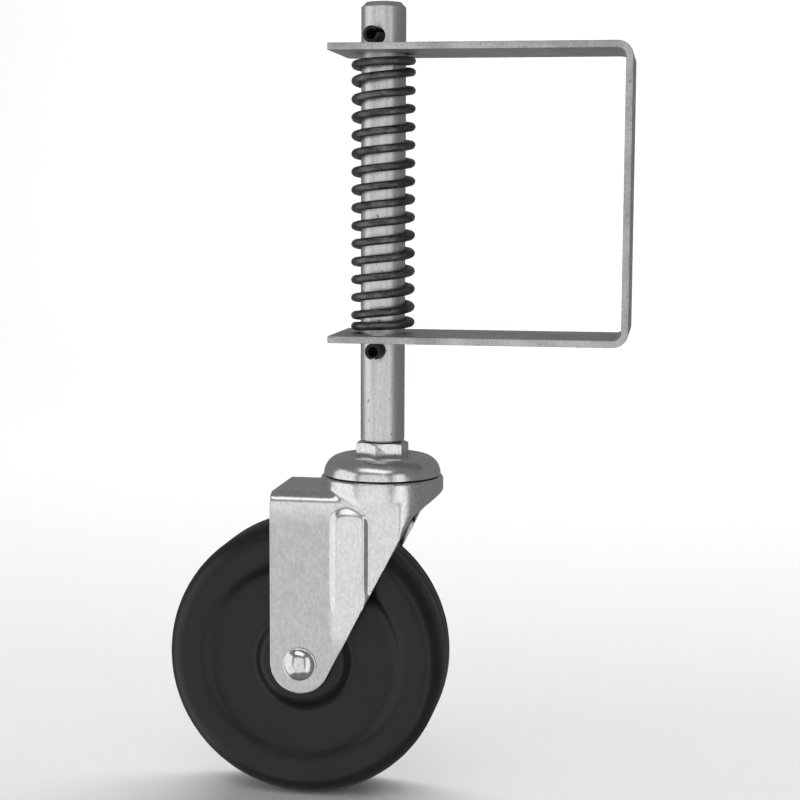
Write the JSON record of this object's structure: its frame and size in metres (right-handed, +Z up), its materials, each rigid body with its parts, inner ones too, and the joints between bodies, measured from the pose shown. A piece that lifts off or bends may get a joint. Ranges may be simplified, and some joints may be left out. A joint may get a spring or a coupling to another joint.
{
  "type": "gate wheel",
  "caption": "Spring-loaded gate wheel: a swivel caster on a sprung rod that slides in a U-shaped flat-bar bracket bolted to the gate.",
  "frame": {"origin": "centre of the back plate's outer face, midway between the two mounting holes", "axes": "+X out of the back plate's outer face into the gate, +Z up along the sliding rod, the wheel trails towards -X and its axle lies along Y"},
  "size_m": [0.166, 0.046, 0.2864],
  "materials": {
    "galvanised_bar": "satin zinc-plated flat bar",
    "drawn_rod": "satin zinc-plated drawn bar",
    "spring_wire": "dark oil-tempered wire",
    "black_pin": "black-oxide rolled steel",
    "bright_pressing": "bright zinc-plated pressed steel",
    "rivet_steel": "polished plated steel",
    "bearing_steel": "polished bearing steel",
    "hard_rubber": "satin black moulded hard rubber",
    "cage_moulding": "natural moulded nylon"
  },
  "bodies": {
    "bracket": {"mounting_bracket": "galvanised_bar", "compression_spring": "spring_wire"},
    "sliding_stem": {"stem_rod": "drawn_rod", "upper_roll_pin": "black_pin", "lower_roll_pin": "black_pin", "threaded_stem": "bright_pressing", "swivel_cap": "bright_pressing", "lower_race_cup": "bright_pressing", "kingpin_washer": "bright_pressing"},
    "upper_ball_ring": {"upper_balls": "bearing_steel"},
    "lower_ball_ring": {"lower_balls": "bearing_steel"},
    "swivel_fork": {"fork": "bright_pressing", "axle_rivet": "rivet_steel", "axle_sleeve": "bearing_steel", "near_thrust_washer": "bright_pressing", "far_thrust_washer": "bright_pressing"},
    "road_wheel": {"wheel": "hard_rubber", "hub_liner": "bearing_steel"},
    "roller_set": {"hub_rollers": "bearing_steel", "roller_cage": "cage_moulding"}
  },
  "joints": [
    {"name": "stem_slide", "type": "slide", "parent": "bracket", "child": "sliding_stem", "axis": [0, 0, 1], "range_m": [0, 0.0365], "stiffness_N_per_m": 7100, "deforming": ["compression_spring"]},
    {"name": "fork_swivel", "type": "hinge", "parent": "sliding_stem", "child": "swivel_fork", "pos_m": [-0.0885, 0, -0.1012], "axis": [0, 0, 1], "continuous": true},
    {"name": "upper_ball_turn", "type": "hinge", "parent": "sliding_stem", "child": "upper_ball_ring", "pos_m": [-0.0885, 0, -0.09865], "axis": [0, 0, 1], "continuous": true},
    {"name": "lower_ball_turn", "type": "hinge", "parent": "sliding_stem", "child": "lower_ball_ring", "pos_m": [-0.0885, 0, -0.10625], "axis": [0, 0, 1], "continuous": true},
    {"name": "wheel_spin", "type": "hinge", "parent": "swivel_fork", "child": "road_wheel", "pos_m": [-0.1152, 0, -0.1682], "axis": [0, 1, 0], "continuous": true},
    {"name": "roller_turn", "type": "hinge", "parent": "swivel_fork", "child": "roller_set", "pos_m": [-0.1152, 0, -0.1682], "axis": [0, 1, 0], "continuous": true}
  ],
  "couplings": [
    {"joint": "upper_ball_turn", "follows": "fork_swivel", "ratio": 0.5},
    {"joint": "lower_ball_turn", "follows": "fork_swivel", "ratio": 0.5},
    {"joint": "roller_turn", "follows": "wheel_spin", "ratio": 0.6}
  ]
}
